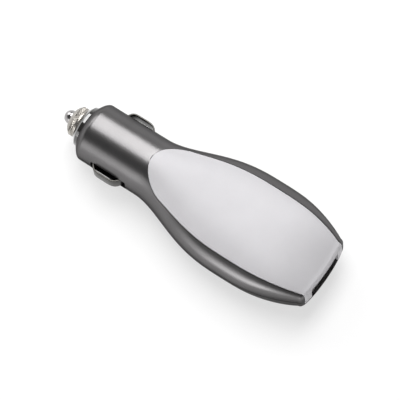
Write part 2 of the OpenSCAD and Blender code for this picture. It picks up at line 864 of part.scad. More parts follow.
module inductor_winding() {
    color([0.66, 0.36, 0.18])
    difference() {
        post(inductor_at, board_z + inductor_flange_t, board_z + inductor_h - inductor_flange_t,
             inductor_d / 2 - 8 * seat);
        post(inductor_at, board_z, board_z + inductor_h, inductor_d / 4 + seat);
    }
}

// A can capacitor that lies on the board, with its rolled groove
module can(x, y, d, l) {
    r = d / 2;
    translate([x, y, board_z + r + seat])
    turned([
        [0, 0], [r - 0.3, 0], [r, 0.3], [r, 1], [r - 0.3, 1.3], [r, 1.6], [r, l], [0, l]
    ]);
}

module input_capacitor() {
    color([0.14, 0.16, 0.26])
        can(board_x + input_can_in, input_can_edge - board_w / 2, input_can_d, input_can_l);
}

module output_capacitor() {
    color([0.14, 0.16, 0.26])
        can(board_x + output_can_in, output_can_y, output_can_d, output_can_l);
}

stand_off = 0.1;    // gap between the board and a package's body

module controller_chip() {
    lead_w = 0.4;
    lead_l = 1;
    lead_out = 0.8;    // how far a lead reaches out of the body
    translate([board_x + chip_in, board_w / 2 - chip_edge, board_z])
    color([0.09, 0.09, 0.09])
    union() {
        block([-chip_l / 2, -chip_w / 2, stand_off], [chip_l / 2, chip_w / 2, stand_off + chip_h]);
        for (i = [-1.5 : 1.5], y = [-chip_w / 2 - lead_out, chip_w / 2 + lead_out - lead_l])
            block([lead_pitch * i - lead_w / 2, y, 0], [lead_pitch * i + lead_w / 2, y + lead_l, 0.3]);
    }
}

module rectifier_diode() {
    tab_l = diode_l + 1;    // the tabs reach 0.5 out at each end
    tab_w = diode_w - 1.2;
    translate([board_x + diode_in, board_w / 2 - chip_edge, board_z])
    color([0.10, 0.10, 0.10])
    union() {
        block([-diode_l / 2, -diode_w / 2, stand_off], [diode_l / 2, diode_w / 2, stand_off + diode_h]);
        block([-tab_l / 2, -tab_w / 2, 0], [tab_l / 2, tab_w / 2, 0.4]);
    }
}

// Each place is a distance from the board's front and from its middle or its side
module chip_resistors() {
    side_y = -board_w / 2;
    places = [[3, 0], [13.5, 0], [26.6, side_y + 3.4], [26.6, side_y + 6], [30.4, side_y + 3.4]];
    color([0.20, 0.19, 0.18])
    for (at = places)
        translate([board_x + at[0], at[1] - resistor_w / 2, board_z])
            cube([resistor_l, resistor_w, resistor_h]);
}

// Wires from the contacts to the board. A wire runs along X and swings out past the front post.
module wire(from, to, swing, d) {
    color([0.15, 0.15, 0.15])
    loft([
        for (k = [0 : 10])
            let (
                t = k / 10,
                s = t * t * (3 - 2 * t),
                at = from + [t, s, s] * [
                    [to[0] - from[0], 0, 0], [0, to[1] - from[1], 0], [0, 0, to[2] - from[2]]
                ]
            )
            [
                for (i = [0.5 : 8])
                    at + [0, swing * sin(180 * t) + d / 2 * cos(45 * i), d / 2 * sin(45 * i)]
            ]
    ]);
}

module positive_wire() {
    d = positive_wire_d;
    wire([terminal_x + terminal_t + tag_l + seat, 0, 0],
         [board_x + pad_in, board_w / 6, board_z + d / 2 + seat], wire_swing, d);
}

module ground_wire(side) {
    d = ground_wire_d;
    wire([clip_root_x + 3 * seat, side * (clip_root_y - 0.4), 0],
         [board_x + pad_in, side * (board_w / 2 - pad_edge), board_z + d / 2 + seat], 0, d);
}

module left_ground_wire() {
    ground_wire(1);
}

module right_ground_wire() {
    ground_wire(-1);
}

module housing_screws() {
    color([0.60, 0.60, 0.60])
    for (p = posts) {
        post(p, -screw_seat, screw_bite, screw_d / 2);
        difference() {
            post(p, -screw_seat - screw_head_h, -screw_seat, screw_head_d / 2);
            for (a = [0, 90])
                translate([p[0], p[1], -screw_seat - screw_head_h]) rotate(a)
                    cube([cross_l, cross_w, 2 * cross_depth], center = true);
        }
    }
}

top_housing();
bottom_housing();
top_plate();
nose_collar();
screw_cap();
guide_bush();
contact_pin();
fuse_glass();
fuse_front_cap();
fuse_rear_cap();
fuse_wire();
fuse_spring();
spring_terminal();
left_ground_clip();
right_ground_clip();
circuit_board();
usb_shell();
usb_tongue();
usb_contacts();
inductor_core();
inductor_winding();
input_capacitor();
output_capacitor();
controller_chip();
rectifier_diode();
chip_resistors();
positive_wire();
left_ground_wire();
right_ground_wire();
housing_screws();
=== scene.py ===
# %% [markdown]
# A charger plug for a car's 12 V socket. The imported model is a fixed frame: it says where every
# solid piece is, and which body it moves with. This script dresses that frame for a photograph.
# Outer pieces get finer meshes made from the same measures, and every surface gets a finish.

# %% Load the frame
import json
import math

import bmesh
import bpy
import numpy as np
from mathutils import Matrix, Vector
from mathutils.bvhtree import BVHTree
from mathutils.interpolate import poly_3d_calc

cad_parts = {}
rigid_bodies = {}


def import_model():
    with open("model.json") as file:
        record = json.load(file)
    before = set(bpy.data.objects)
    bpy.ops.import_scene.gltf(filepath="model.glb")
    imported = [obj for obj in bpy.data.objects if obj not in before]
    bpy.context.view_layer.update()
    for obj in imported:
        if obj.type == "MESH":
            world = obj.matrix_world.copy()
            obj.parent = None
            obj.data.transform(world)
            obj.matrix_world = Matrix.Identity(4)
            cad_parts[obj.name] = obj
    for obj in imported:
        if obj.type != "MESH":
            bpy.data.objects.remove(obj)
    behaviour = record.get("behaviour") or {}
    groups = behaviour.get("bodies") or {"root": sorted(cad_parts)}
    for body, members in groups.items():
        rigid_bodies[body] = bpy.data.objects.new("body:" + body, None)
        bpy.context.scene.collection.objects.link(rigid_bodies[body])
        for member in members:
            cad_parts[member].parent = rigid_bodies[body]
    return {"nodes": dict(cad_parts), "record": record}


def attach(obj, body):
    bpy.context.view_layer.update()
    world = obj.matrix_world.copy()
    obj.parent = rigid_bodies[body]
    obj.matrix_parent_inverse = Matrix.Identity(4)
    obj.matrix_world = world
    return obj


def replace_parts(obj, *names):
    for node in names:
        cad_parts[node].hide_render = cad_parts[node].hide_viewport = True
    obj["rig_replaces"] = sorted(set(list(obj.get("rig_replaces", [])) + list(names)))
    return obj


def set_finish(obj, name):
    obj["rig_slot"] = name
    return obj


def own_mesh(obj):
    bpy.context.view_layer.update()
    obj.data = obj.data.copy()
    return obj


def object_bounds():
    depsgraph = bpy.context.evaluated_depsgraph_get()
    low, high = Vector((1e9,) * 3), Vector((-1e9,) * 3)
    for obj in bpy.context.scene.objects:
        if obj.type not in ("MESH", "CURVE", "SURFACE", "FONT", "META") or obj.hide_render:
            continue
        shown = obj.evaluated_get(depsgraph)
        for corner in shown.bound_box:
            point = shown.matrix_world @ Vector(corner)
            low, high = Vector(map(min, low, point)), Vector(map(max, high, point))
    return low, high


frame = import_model()
nodes = frame["nodes"]
cad_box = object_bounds()
MM = 0.001

# %% [markdown]
# The measures below repeat those of the frame, in millimetres. X runs from the nose to the port,
# Z points out of the cover plate, and the two half shells part at z = 0. A mesh made from other
# numbers would stand off its neighbours, so each value is written once and used everywhere. Only
# BOW_L is longer than in the frame, because the real end starts to curve sooner, and that moves
# the outline by half a millimetre at most. Names that end in _X are places along the plug. _R is
# a radius, _W a width, _L a length and _T a thickness.

# %% Measures of the barrel and the handle
NOSE_X = -2.6
BARREL_END_X = 22.0
WIDEST_X = 61.0
END_X = 89.5
END_ROUND = 1.15
ROUND_X = END_X - END_ROUND
CAVITY_END_X = 86.5

BARREL_R = 10.3
BARREL_END_R = 10.38
BORE_R = 8.3
WAIST_R = 5.7

HANDLE_W = 37.2
HANDLE_TOP = 9.0
HANDLE_BOTTOM = 10.4
HANDLE_SQUARE = 2.3
END_W = 25.0
END_TOP = 5.0
END_BOTTOM = 4.9
END_SQUARE = 5.0
TAIL_POWER = 2.6
END_BOW_R = 65.0
BOW_L = 24.0

SHELL_WALL = 1.7
PLATE_T = 1.0
SEAT = 0.05

# %% [markdown]
# The handle is a form that changes along its length: a circle where it leaves the barrel, a
# wide oval in the middle and a squared oval at the end. Each function gives one measure of the
# section at a place x. It could be sculpted, but functions keep both halves and the plate equal.

# %% The handle's form
def share(x, a, b):
    """How far x is on the way from a to b, from 0 to 1."""
    return max(0.0, min(1.0, (x - a) / (b - a)))


def mix(a, b, t):
    return a + (b - a) * t


def swell(t):
    """Rises from 0 to 1 and arrives level, as the handle's flare does."""
    return 1 - (1 - t) ** 3 * (1 + 3 * t)


def tail(x):
    return share(x, WIDEST_X, ROUND_X) ** TAIL_POWER


def between(x, at_barrel, at_middle, at_end):
    """One measure of the section at x, from its values at three places."""
    flare = swell(share(x, BARREL_END_X, WIDEST_X))
    return at_barrel + (at_middle - at_barrel) * flare + (at_end - at_middle) * tail(x)


def rounding(x):
    """How much the rounded edge of the end takes off the section at x."""
    return 0 if x <= ROUND_X else END_ROUND - math.sqrt(max(0, END_ROUND**2 - (x - ROUND_X) ** 2))


def half_w(x):
    return between(x, BARREL_END_R, HANDLE_W / 2, END_W / 2) - rounding(x)


def top_h(x):
    return between(x, BARREL_END_R, HANDLE_TOP, END_TOP) - rounding(x)


def bottom_h(x):
    return between(x, BARREL_END_R, HANDLE_BOTTOM, END_BOTTOM) - rounding(x)


def square(x):
    """The exponent of the oval: 2 is an ellipse, and more brings it nearer to a box."""
    return between(x, 2, HANDLE_SQUARE, END_SQUARE)


def bow(x, y):
    """How far the section is set back at the side y, which gives the end face its curve."""
    return swell(share(x, END_X - BOW_L, ROUND_X)) * y * y / (2 * END_BOW_R)


def roof_z(x, y):
    """Height of the top surface."""
    return top_h(x) * max(0, 1 - (abs(y) / half_w(x)) ** square(x)) ** (1 / square(x))


print("handle:", round(END_X - NOSE_X, 1), "mm long,", round(2 * half_w(WIDEST_X), 1), "mm wide")

# %% [markdown]
# Meshes are made in millimetres from rows of points and scaled to metres at the end, because
# Blender's booleans are surest on numbers near one. A loft joins rows of points into a closed skin,
# and a lathe turns a profile round the X axis, as the barrel's pieces are turned or moulded.

# %% Skins from rows of points
def new_mesh(name, points, faces):
    mesh = bpy.data.meshes.new(name)
    mesh.from_pydata([tuple(p) for p in points], [], faces)
    mesh.update()
    obj = bpy.data.objects.new(name, mesh)
    bpy.context.scene.collection.objects.link(obj)
    return obj


def outward(obj):
    """Turns all faces outwards and joins points that coincide."""
    bm = bmesh.new()
    bm.from_mesh(obj.data)
    bmesh.ops.remove_doubles(bm, verts=bm.verts, dist=1e-5)
    bmesh.ops.dissolve_degenerate(bm, edges=bm.edges, dist=1e-6)
    bmesh.ops.recalc_face_normals(bm, faces=bm.faces)
    bm.to_mesh(obj.data)
    bm.free()
    return obj


def loft(name, rings, strips=False):
    """A closed skin through rings of equal length. Strips close its ends from side to side."""
    n = len(rings[0])
    points = [p for ring in rings for p in ring]
    faces = []
    for k in range(len(rings) - 1):
        for i in range(n):
            a, b = k * n + i, k * n + (i + 1) % n
            faces.append((a, b, b + n, a + n))
    for start in (0, (len(rings) - 1) * n):
        if strips:
            for i in range(n // 2 - 1):
                mirror = start + n - 1 - i
                faces.append((start + i, start + i + 1, mirror - 1, mirror))
        else:
            faces.append(tuple(start + i for i in range(n)))
    return outward(new_mesh(name, points, faces))


def lathe(name, profile, steps=128, radius=None):
    """Turns a closed profile of (x, r) points round the X axis. radius may change r with the angle."""
    rings = []
    for k in range(steps):
        a = 2 * math.pi * k / steps
        ring = [(x, (radius(x, r, a) if radius else r)) for x, r in profile]
        rings.append([(x, r * math.cos(a), r * math.sin(a)) for x, r in ring])
    n = len(profile)
    points = [p for ring in rings for p in ring]
    faces = []
    for k in range(steps):
        for i in range(n):
            a, b = k * n + i, k * n + (i + 1) % n
            c, d = (a + n) % (n * steps), (b + n) % (n * steps)
            faces.append((a, c, d, b))
    return outward(new_mesh(name, points, faces))


# %% [markdown]
# Every real edge is a little round, and it is the rounding that catches the light. These helpers
# give profiles and bars such corners. Cutting is left to a boolean, which does what a mould's core
# or a milling tool does. The last two shade a piece and tie it to the body that it moves with.

# %% Corners, cuts and ties
STRAIGHT = 0.004  # a corner that turns less than this is left as it is
CORNER_SHARE = 0.42  # the most that a rounding takes of a side


def eased(profile, size, steps=4):
    """Rounds the corners of a profile with short arcs."""
    out = []
    n = len(profile)
    for i, p in enumerate(profile):
        p, before, after = Vector(p), Vector(profile[i - 1]), Vector(profile[(i + 1) % n])
        to_before, to_after = before - p, after - p
        if abs(to_before.normalized().dot(to_after.normalized()) + 1) < STRAIGHT:
            out.append(tuple(p))
            continue
        reach = min(size, CORNER_SHARE * to_before.length, CORNER_SHARE * to_after.length)
        a, b = p + to_before.normalized() * reach, p + to_after.normalized() * reach
        for k in range(steps + 1):
            t = k / steps
            out.append(tuple(a * (1 - t) ** 2 + p * (2 * t * (1 - t)) + b * t * t))
    return out


def bar_section(half_u, half_v, round_u, round_v, steps):
    """Points round the section of a bar, with its corners rounded."""
    points = []
    for u, v, start in ((1, 1, 0), (-1, 1, 90), (-1, -1, 180), (1, -1, 270)):
        for k in range(steps + 1):
            a = math.radians(start + 90 * k / steps)
            points.append((
                u * (half_u - round_u) + round_u * math.cos(a),
                v * (half_v - round_v) + round_v * math.sin(a),
            ))
    return points


def rounded_box(name, low, high, r, axis):
    """A bar along an axis whose section has rounded corners."""
    u, v = [i for i in range(3) if i != axis]
    section = bar_section((high[u] - low[u]) / 2, (high[v] - low[v]) / 2, r, r, 6)
    rings = []
    for place in (low[axis], high[axis]):
        ring = []
        for du, dv in section:
            point = [0, 0, 0]
            point[axis] = place
            point[u] = (low[u] + high[u]) / 2 + du
            point[v] = (low[v] + high[v]) / 2 + dv
            ring.append(point)
        rings.append(ring)
    return loft(name, rings)


def cut(target, tools):
    """Subtracts the tools from the target and removes them."""
    for tool in tools:
        step = target.modifiers.new("cut", "BOOLEAN")
        step.operation, step.solver, step.object = "DIFFERENCE", "MANIFOLD", tool
    bpy.context.view_layer.update()
    seen = target.evaluated_get(bpy.context.evaluated_depsgraph_get())
    mesh = bpy.data.meshes.new_from_object(seen)
    target.modifiers.clear()
    target.data = mesh
    for tool in tools:
        bpy.data.objects.remove(tool)
    return target


def smoothed(obj, sharp=34):
    """Shades a piece smooth, up to an angle in degrees between faces."""
    for face in obj.data.polygons:
        face.use_smooth = True
    obj.data.set_sharp_from_angle(angle=math.radians(sharp))
    return obj


def tied(obj, body, slot, replaced):
    """Scales a piece to metres and ties it to its body, slot and nodes."""
    obj.data.transform(Matrix.Scale(MM, 4))
    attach(obj, body)
    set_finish(obj, slot)
    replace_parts(obj, *replaced)
    print("piece:", obj.name, len(obj.data.polygons), "faces")
    return obj


# %% [markdown]
# Each half shell is one closed skin. A ring runs over the outer surface from one parting edge to
# the other and comes back along the inner surface, so the wall and the flat parting face come with
# the loft. A small chamfer on each parting edge leaves the fine seam that real mouldings show.
# First come the places along the plug that have a ring: close together where the form turns.

# %% Stations and outer surface of a half shell
NOSE_PROFILE = [
    (NOSE_X, 7.4), (-2.5, 7.62), (-2.2, 8.1), (-1.8, 8.66), (-1.4, 9.16), (-1.0, 9.6), (-0.6, 9.93),
    (-0.3, 10.12), (0.0, 10.24), (0.3, 10.29), (0.6, BARREL_R), (2.5, BARREL_R), (4.6, BARREL_R),
]
PROFILE_END_X = NOSE_PROFILE[-1][0]
BARREL_STEPS, HANDLE_STEPS, HALF_STEPS = 14, 84, 72

shell_xs = [x for x, _ in NOSE_PROFILE]
shell_xs += [mix(PROFILE_END_X, BARREL_END_X, k / BARREL_STEPS) for k in range(1, BARREL_STEPS)]
shell_xs += [mix(BARREL_END_X, ROUND_X, k / HANDLE_STEPS) for k in range(HANDLE_STEPS + 1)]
shell_xs += [ROUND_X + END_ROUND * math.sin(math.radians(a)) for a in (11, 22, 34, 45, 56, 68, 79, 90)]


def barrel_radius(x):
    for (x0, r0), (x1, r1) in zip(NOSE_PROFILE, NOSE_PROFILE[1:]):
        if x <= x1:
            return mix(r0, r1, share(x, x0, x1))
    return mix(BARREL_R, BARREL_END_R, share(x, PROFILE_END_X, BARREL_END_X))


def half_section(x, side, inset=0.0):
    """Points over one half of the section, from the +Y parting edge to the -Y one."""
    points = []
    for k in range(HALF_STEPS + 1):
        a = math.pi * k / HALF_STEPS
        if x < BARREL_END_X:
            r = barrel_radius(x) - inset
            y, z = r * math.cos(a), r * math.sin(a)
        else:
            p = 2 / square(x)
            h = (top_h(x) if side > 0 else bottom_h(x)) - inset
            y = (half_w(x) - inset) * math.copysign(abs(math.cos(a)) ** p, math.cos(a))
            z = h * math.sin(a) ** p if 0 < k < HALF_STEPS else 0.0
        points.append((x - (bow(x, y) if x >= BARREL_END_X else 0), y, side * z))
    return points


print("stations:", len(shell_xs), "along the shell,", HALF_STEPS, "steps across")

# %% [markdown]
# Inside, the shell is a narrow waist that holds the collar, a round bore for the fuse, and then
# a hollow that follows the handle's outside at the wall's thickness. Under the cover plate the
# hollow is lower by the plate's thickness, so the wall keeps its strength below the recess.

# %% Rings of a half shell
SEAM = 0.1
SEAM_LEAN = 0.003
WAIST_END_X = -0.8
BORE_X = -0.5
BORE_END_X = BARREL_END_X + 0.5
PLATE_ROOM_Z = 2.0


def outer_ring(x, side):
    """The outer half section, with a chamfer at each parting edge."""
    ring = half_section(x, side)
    for i, sign in ((0, 1), (len(ring) - 1, -1)):
        px, py, _ = ring[i]
        ring[i] = (px, py - sign * SEAM, 0.0)
        ring.insert(1 if i == 0 else len(ring) - 1, (px, py - sign * SEAM_LEAN, side * SEAM))
    return ring


def bore_ring(x, r, side):
    steps = HALF_STEPS + 2
    angles = [math.pi * k / steps for k in range(steps + 1)]
    return [(x, r * math.cos(a), side * r * math.sin(a)) for a in angles]


def cavity_ring(x, side):
    """The inner half section, with one more point near each edge to match the outer ring."""
    ring = half_section(x, side, SHELL_WALL)
    first = (ring[0][0], mix(ring[0][1], ring[1][1], 0.5), mix(0, ring[1][2], 0.5))
    last = (ring[-1][0], mix(ring[-1][1], ring[-2][1], 0.5), mix(0, ring[-2][2], 0.5))
    ring = [ring[0], first, *ring[1:-1], last, ring[-1]]
    if side > 0:
        ring = [(px, py, max(0.0, pz - PLATE_T * share(pz, 0, PLATE_ROOM_Z))) for px, py, pz in ring]
    return ring


def half_shell(name, side):
    """Rings from the nose to the end, and one flat ring that closes the end."""
    inner = [
        bore_ring(NOSE_X, WAIST_R, side),
        bore_ring(WAIST_END_X, WAIST_R, side),
        bore_ring(WAIST_END_X, BORE_R, side),
    ]
    rest = len(shell_xs) - len(inner)
    for k in range(rest):
        x = mix(BORE_X, CAVITY_END_X, k / (rest - 1))
        inner.append(bore_ring(x, BORE_R, side) if x < BORE_END_X else cavity_ring(x, side))
    rings = [outer_ring(x, side) + back[::-1] for x, back in zip(shell_xs, inner)]
    closing = [(x, y, 0.0) for x, y, z in rings[-1]]
    return loft(name, rings + [closing], strips=True)


# %% [markdown]
# After a boolean the skin's cut edges take odd shading, which shows as flicker in a glossy paint.
# So the smooth normals are read from a clean copy of the outer surface and set on what is left of it.

# %% Clean normals for a cut shell
ON_SURFACE = 0.03  # a point this near counts as on the surface
SAME_WAY = 0.8  # how nearly a face has to point the way that the surface does


def surface_reader(side):
    """A function that gives the outer surface's normal at a point, or None away from it."""
    grid = np.array([half_section(x, side) for x in shell_xs])
    along, across = np.gradient(grid, axis=0), np.gradient(grid, axis=1)
    normals = np.cross(across, along) * side
    length = np.linalg.norm(normals, axis=2, keepdims=True)
    normals = normals / np.where(length < 1e-12, 1, length)
    if (normals[:, :, 1:] * grid[:, :, 1:]).sum() < 0:
        normals = -normals
    rows, m = grid.shape[:2]
    points = [Vector(p) for p in grid.reshape(-1, 3)]
    faces = []
    for k in range(rows - 1):
        for i in range(m - 1):
            a = k * m + i
            faces += [(a, a + 1, a + m), (a + 1, a + m + 1, a + m)]
    tree = BVHTree.FromPolygons(points, faces)
    corner_normals = [Vector(v) for v in normals.reshape(-1, 3)]

    def read(point):
        spot, _, face, gap = tree.find_nearest(point)
        if spot is None or gap > ON_SURFACE:
            return None
        corners = faces[face]
        weights = poly_3d_calc([points[c] for c in corners], spot)
        out = Vector((0, 0, 0))
        for c, w in zip(corners, weights):
            out += w * corner_normals[c]
        return out.normalized()

    return read


def smooth_outside(obj, read):
    """Sets clean normals on the faces of a mesh that lie on the outer surface."""
    mesh = smoothed(obj).data
    normals = [(0.0, 0.0, 0.0)] * len(mesh.loops)
    kept = 0
    for face in mesh.polygons:
        if abs(face.center[2]) < SEAM * 1.01:
            continue
        found = [read(mesh.vertices[v].co) for v in face.vertices]
        if any(f is None or f.dot(face.normal) < SAME_WAY for f in found):
            continue
        kept += 1
        for loop, normal in zip(face.loop_indices, found):
            normals[loop] = tuple(normal)
    mesh.normals_split_custom_set(normals)
    print("normals:", obj.name, kept, "of", len(mesh.polygons), "faces read from the clean surface")


# %% [markdown]
# The cover plate is a ribbon that follows the handle's crown and folds over its end. Its ring goes
# across the outer face, round a small edge radius, and back along the inner face. The same ribbon,
# grown by the gap around it, is the tool that cuts its recess. A station is a place x, how far the
# plate has folded in degrees, and how much of the way down the end face it has come.

# %% Ribbon of the cover plate
PLATE_W = 28.6
TAB_W = 21.0
TAB_DROP = 3.3
TIP_X = 23.0
TIP_L = 9.0
TIP_BLUNT = 0.004
PLATE_GAP = 0.2

ACROSS = 20
TONGUE_STEPS, TOP_STEPS, TAB_STEPS = 20, 48, 8

steps_across = range(ACROSS, -ACROSS - 1, -1)
plate_across = [0.75 * v / ACROSS + 0.25 * math.sin(math.radians(90 * v / ACROSS)) for v in steps_across]
rim_turns = [math.radians(22.5 * k) for k in range(4)]
plate_stations = [(TIP_X + TIP_L * (k / TONGUE_STEPS) ** 2, 0, 0.0) for k in range(TONGUE_STEPS)]
plate_stations += [(mix(TIP_X + TIP_L, ROUND_X, k / TOP_STEPS), 0, 0.0) for k in range(TOP_STEPS + 1)]
plate_stations += [(ROUND_X + END_ROUND * math.sin(math.radians(a)), a, 0.0) for a in range(10, 91, 10)]
plate_stations += [(END_X, 90, k / TAB_STEPS) for k in range(1, TAB_STEPS + 1)]


def plate_edge(x):
    """Half the plate's width: a round tongue at the front, and a share of the handle behind it."""
    spread = mix(PLATE_W / HANDLE_W, TAB_W / END_W, tail(x))
    behind_tip = max(TIP_BLUNT, share(x, TIP_X, TIP_X + TIP_L))
    return half_w(min(x, ROUND_X)) * spread * math.sqrt(1 - (1 - behind_tip) ** 2)


def ribbon(name, under, over, grow, edge=0.0):
    """A plate from under the handle's surface to over it, grown sideways, with a rounded edge."""
    rings = []
    last = len(plate_stations) - 1
    for s, (x, fold, drop) in enumerate(plate_stations):
        a = math.radians(fold)

        def point(y, lift):
            z = mix(roof_z(x, y), -TAB_DROP - grow, drop)
            return (x - bow(x, y) + lift * math.sin(a), y, z + lift * math.cos(a))

        reach = plate_edge(x) + grow
        soft = min(edge, reach / 3)
        from_end = min(1.0, s / 2, (last - s) / 2 + 0.001)
        top = over - edge * (1 - math.sqrt(1 - (1 - from_end) ** 2))
        rim = [(soft * (1 - math.cos(t)), edge * (1 - math.sin(t))) for t in rim_turns if edge]
        rim = [(reach - inwards, top - down) for inwards, down in rim]
        ring = [point(y, lift) for y, lift in rim]
        ring += [point((reach - soft) * v, top) for v in plate_across]
        ring += [point(-y, lift) for y, lift in rim[::-1]]
        back = len(ring) - 1
        ring += [point(mix(-reach, reach, k / back), -under) for k in range(back + 1)]
        rings.append(ring)
    if not edge:
        rings[0] = [(x - grow, y, z) for x, y, z in rings[0]]
    return loft(name, rings, strips=True)


print("plate:", len(plate_stations), "stations,", round(END_X - TIP_X, 1), "mm from tip to end")

# %% [markdown]
# The other openings of the housing are a mouth for the port, a slot for each clip and three screw
# wells below. A mould leaves them out with cores, and here each core is a tool that is cut away. A
# tool takes its size from the piece that goes in, plus a clearance.

# %% Tools for the openings
USB_W = 13.2
USB_H = 5.8
USB_X = 88.3
USB_REAR_X = 74.3
MOUTH_MARGIN = 0.4
SLOT_X = 5.2
SLOT_REAR_X = 18.8
SLOT_W = 5.3
SLOT_DEPTH = 4
SCREW_POSTS = [(33.0, 0.0), (70.0, 12.8), (70.0, -12.8)]
SCREW_SEAT = 5.6
SCREW_SEAT_R = 2.25
AXIS_R = 0.001


def mouth_tool(margin, x0, x1, r):
    w, h = USB_W / 2 + margin, USB_H / 2 + margin
    return rounded_box("tool_mouth", (x0, -w, -h), (x1, w, h), r, 0)


def slot_tool(side):
    y = side * BARREL_R
    low = (SLOT_X, y - SLOT_DEPTH, -SLOT_W / 2)
    high = (SLOT_REAR_X, y + SLOT_DEPTH, SLOT_W / 2)
    return rounded_box("tool_slot", low, high, 0.5, 1)


def well_tool(x, y):
    """A bar from far below up to the screw's seat. It is turned on X and then stood up along Z."""
    profile = [(-20, AXIS_R), (-20, SCREW_SEAT_R), (-SCREW_SEAT, SCREW_SEAT_R), (-SCREW_SEAT, AXIS_R)]
    tool = lathe("tool_well", profile, 48)
    tool.data.transform(Matrix.Translation((x, y, 0)) @ Matrix.Rotation(math.radians(-90), 4, "Y"))
    return tool


# %% [markdown]
# Each half is lofted whole and then cut: the plate's recess, the slots, the port and, in the
# lower one, the screw wells. The clean normals go on last, because a cut makes new faces.

# %% Cut the two half shells
def make_shell(name, side, replaced):
    shell = half_shell(name, side)
    tools = [ribbon("tool_recess", PLATE_T, 1.0, PLATE_GAP), slot_tool(1), slot_tool(-1)]
    tools.append(mouth_tool(SEAT, USB_REAR_X - 1, USB_X + SEAT, 0.3))
    tools.append(mouth_tool(MOUTH_MARGIN, USB_X, END_X + 1, 0.4))
    if side < 0:
        tools += [well_tool(x, y) for x, y in SCREW_POSTS]
    cut(shell, tools)
    smooth_outside(shell, surface_reader(side))
    return tied(shell, "housing", "housing", replaced)


make_shell("upper_shell", 1, ["top_housing"])
make_shell("lower_shell", -1, ["bottom_housing"])

# %% [markdown]
# The plate itself stands a little proud of the housing, so that its edge can be felt and seen. Its
# opening is wider than the one behind it, which leaves a dark frame round the port.

# %% The cover plate
PLATE_PROUD = 0.15
PLATE_EDGE = 0.28
FRAME_MARGIN = MOUTH_MARGIN + 0.5

cover = ribbon("cover_plate", PLATE_T - SEAT, PLATE_PROUD, 0.0, PLATE_EDGE)
cut(cover, [mouth_tool(FRAME_MARGIN, USB_X - 2, END_X + 1, 0.6)])
tied(smoothed(cover, 40), "housing", "cover_plate", ["top_plate"])

# %% [markdown]
# The nose is turned and moulded round work. The collar is black plastic: a tube with the cap's
# thread, a cone with a rim, a flange that the half shells hold, and a tube round the fuse. Its
# profile has the frame's lengths, with eased corners, because a real edge catches light along a
# thin line and a perfectly sharp one does not.

# %% Collar
TUBE_X = -7.1
TUBE_R = 4.2
PIN_ROOM_R = 3.55
FUSE_ROOM_X = -3.45
FUSE_ROOM_R = 2.75
CONE_X = -5.25
CONE_R = 5.4
RIM_X = -3.72
RIM_REAR_X = -2.65
RIM_R = 7.15
NECK_R = 5.6
FLANGE_X = -0.75
FLANGE_REAR_X = 0.65
FLANGE_R = 7.6
GUIDE_REAR_X = 3.85
GUIDE_R = 3.9

collar_profile = [
    (TUBE_X, PIN_ROOM_R), (TUBE_X, TUBE_R), (CONE_X, TUBE_R), (CONE_X, CONE_R),
    (RIM_X - 0.18, RIM_R - 0.2), (RIM_X, RIM_R), (RIM_REAR_X, RIM_R), (RIM_REAR_X, NECK_R),
    (FLANGE_X, NECK_R), (FLANGE_X, FLANGE_R), (FLANGE_REAR_X, FLANGE_R), (FLANGE_REAR_X, GUIDE_R),
    (GUIDE_REAR_X, GUIDE_R), (GUIDE_REAR_X, FUSE_ROOM_R), (FUSE_ROOM_X, FUSE_ROOM_R),
    (FUSE_ROOM_X, PIN_ROOM_R),
]
collar = lathe("collar", eased(collar_profile, 0.12))
tied(smoothed(collar), "housing", "collar", ["nose_collar"])

# %% [markdown]
# The cap unscrews to free the fuse, so it has a knurl for the fingers. A knurling wheel presses two
# sets of slanting grooves that cross. A lathe whose radius changes with the angle gives the same
# pattern straight away, where a displaced texture would need a far finer mesh.

# %% Screw cap
CAP_X = -8.8
CAP_REAR_X = -5.3
CAP_R = 5.25
LIP_R = 2.48
LIP_REAR_X = -8.0
THREAD_ROOM_R = 4.28
BAND_R = 5.2
GROOVE_R = 5.08
KNURL_X = CAP_X + 1.5
KNURL_REAR_X = -6.05
KNURLS = 40
KNURL_DEPTH = 0.28
KNURL_PITCH = 0.8
KNURL_FLAT = 1.2

cap_profile = [(CAP_X, LIP_R), (CAP_X, 3.65), (CAP_X + 0.5, 4.35), (CAP_X + 1.2, 4.95), (CAP_X + 1.45, 5.1)]
cap_profile += [(KNURL_X + 0.2 * k, CAP_R) for k in range(6)]
cap_profile += [
    (KNURL_REAR_X - 0.1, CAP_R), (KNURL_REAR_X, CAP_R), (-6.0, GROOVE_R), (-5.8, GROOVE_R), (-5.72, BAND_R),
    (CAP_REAR_X, BAND_R), (CAP_REAR_X, THREAD_ROOM_R), (LIP_REAR_X, THREAD_ROOM_R), (LIP_REAR_X, LIP_R),
]


def knurled(x, r, a):
    if r < CAP_R - 0.03:
        return r
    round_the_cap, along_it = a * KNURLS / (2 * math.pi), (x - CAP_X) / KNURL_PITCH
    grooves = [abs((round_the_cap + way * along_it) % 1 - 0.5) * 2 for way in (1, -1)]
    return r - KNURL_DEPTH * min(1, KNURL_FLAT * max(grooves))


cap = lathe("screw_ring", eased(cap_profile, 0.06, 2), KNURLS * 8, knurled)
tied(smoothed(cap, 28), "cap", "cap_nickel", ["screw_cap"])

# %% [markdown]
# The contact pin has a ball end and a shoulder that stops it behind the bush. It is turned, here as
# in a workshop. The profile's first and last points stay a hair off the axis, because points on it
# would all fall together.

# %% Contact pin
PIN_X = -11.9
PIN_R = 2.4
PIN_SHOULDER_X = -7.1
PIN_SHOULDER_R = 3.4
PIN_REAR_X = -6.3
PIN_AXIS_R = 0.004

